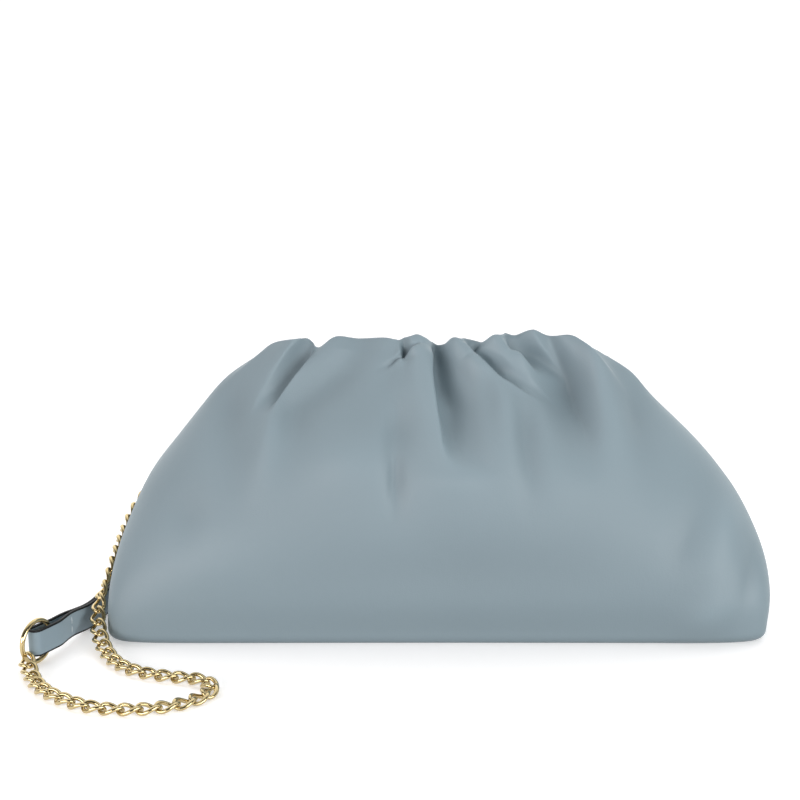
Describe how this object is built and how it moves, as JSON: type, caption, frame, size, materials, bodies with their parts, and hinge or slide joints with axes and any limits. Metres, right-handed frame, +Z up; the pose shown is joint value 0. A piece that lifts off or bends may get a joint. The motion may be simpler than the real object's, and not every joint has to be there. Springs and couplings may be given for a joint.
{
  "type": "pouch bag",
  "caption": "Soft leather pouch bag with a gathered mouth on a flat base, and a shoulder strap of curb chain and leather that lies beside and behind it.",
  "frame": {"origin": "on the floor, under the middle of the base", "axes": "+Z up, -Y to the front, +X to the right as the front is seen"},
  "size_m": [0.3899, 0.2965, 0.1591],
  "materials": {
    "leather": "smooth satin",
    "strap_leather": "smooth satin",
    "gold_metal": "polished plating"
  },
  "bodies": {
    "root": {"front_panel": "leather", "back_panel": "leather", "base_panel": "leather", "mouth_ring_left": "gold_metal", "mouth_ring_right": "gold_metal", "strap": "strap_leather", "strap_ring_left": "gold_metal", "strap_ring_right": "gold_metal", "chain_left_run_01": "gold_metal", "chain_left_run_02": "gold_metal", "link_01": "gold_metal", "link_02": "gold_metal", "link_03": "gold_metal", "link_04": "gold_metal", "link_05": "gold_metal", "link_06": "gold_metal", "link_07": "gold_metal", "link_08": "gold_metal", "link_09": "gold_metal", "link_10": "gold_metal", "link_11": "gold_metal", "link_12": "gold_metal", "link_13": "gold_metal", "link_14": "gold_metal", "link_15": "gold_metal", "link_16": "gold_metal", "link_17": "gold_metal", "link_18": "gold_metal", "link_19": "gold_metal", "link_20": "gold_metal", "link_21": "gold_metal", "link_22": "gold_metal", "link_23": "gold_metal", "link_24": "gold_metal", "link_25": "gold_metal", "link_26": "gold_metal", "link_27": "gold_metal", "link_28": "gold_metal", "link_29": "gold_metal", "link_30": "gold_metal", "link_31": "gold_metal", "link_32": "gold_metal", "link_33": "gold_metal", "link_34": "gold_metal", "link_35": "gold_metal", "link_36": "gold_metal", "link_37": "gold_metal", "link_38": "gold_metal", "chain_right_run_01": "gold_metal", "chain_right_run_02": "gold_metal", "chain_right_run_03": "gold_metal", "chain_right_run_04": "gold_metal", "chain_right_run_05": "gold_metal", "chain_right_run_06": "gold_metal", "chain_right_run_07": "gold_metal", "chain_right_run_08": "gold_metal"}
  },
  "joints": []
}
